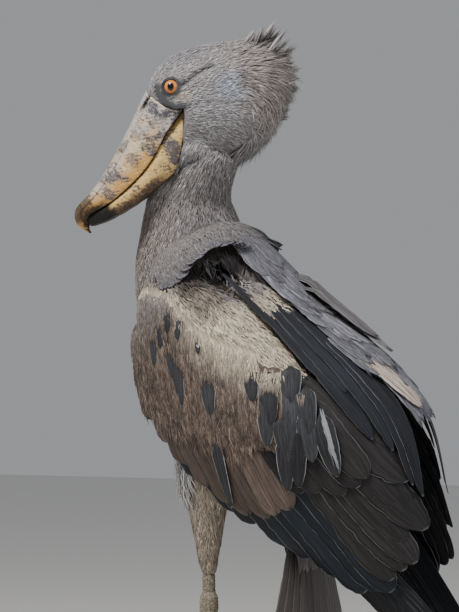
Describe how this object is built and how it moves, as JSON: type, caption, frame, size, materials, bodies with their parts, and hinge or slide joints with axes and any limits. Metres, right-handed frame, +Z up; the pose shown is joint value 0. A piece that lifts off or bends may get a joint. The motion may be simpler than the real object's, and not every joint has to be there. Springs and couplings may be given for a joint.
{
  "type": "shoebill",
  "caption": "Life-size standing shoebill with a huge hooked bill turned to its left, shaggy nape crest, folded wings and long legs.",
  "frame": {"origin": "on the floor, under the middle of the bounding box", "axes": "+Z up; the body faces -X, with its left side towards -Y and the head turned 28 degrees to its left"},
  "size_m": [0.6498, 0.347, 1.1807],
  "materials": {
    "plumage": "soft blue-grey body feathers, matte",
    "wing_plumage": "brown-grey and slate flight feathers and coverts, matte",
    "mantle_plumage": "lilac-grey mantle and shoulder feathers, faint sheen",
    "tail_plumage": "dark slate-brown tail feathers, matte",
    "thigh_plumage": "short buff-grey leg feathers, matte",
    "bill_horn": "mottled horn-coloured bill, low satin shine",
    "leg_skin": "scaled bare leg skin, dull",
    "claw_horn": "dark horn, satin",
    "eye": "wet, glossy"
  },
  "bodies": {
    "root": {"head": "plumage", "neck": "plumage", "torso": "plumage", "mantle": "mantle_plumage", "wing_left": "wing_plumage", "wing_right": "wing_plumage", "tail": "tail_plumage", "thigh_left": "thigh_plumage", "thigh_right": "thigh_plumage", "bill_upper": "bill_horn", "bill_lower": "bill_horn", "eye_left": "eye", "eye_right": "eye", "shank_left": "leg_skin", "shank_right": "leg_skin", "toe_left_middle": "leg_skin", "toe_left_inner": "leg_skin", "toe_left_outer": "leg_skin", "toe_left_hind": "leg_skin", "toe_right_middle": "leg_skin", "toe_right_inner": "leg_skin", "toe_right_outer": "leg_skin", "toe_right_hind": "leg_skin", "claw_left_middle": "claw_horn", "claw_left_inner": "claw_horn", "claw_left_outer": "claw_horn", "claw_left_hind": "claw_horn", "claw_right_middle": "claw_horn", "claw_right_inner": "claw_horn", "claw_right_outer": "claw_horn", "claw_right_hind": "claw_horn"}
  },
  "joints": []
}
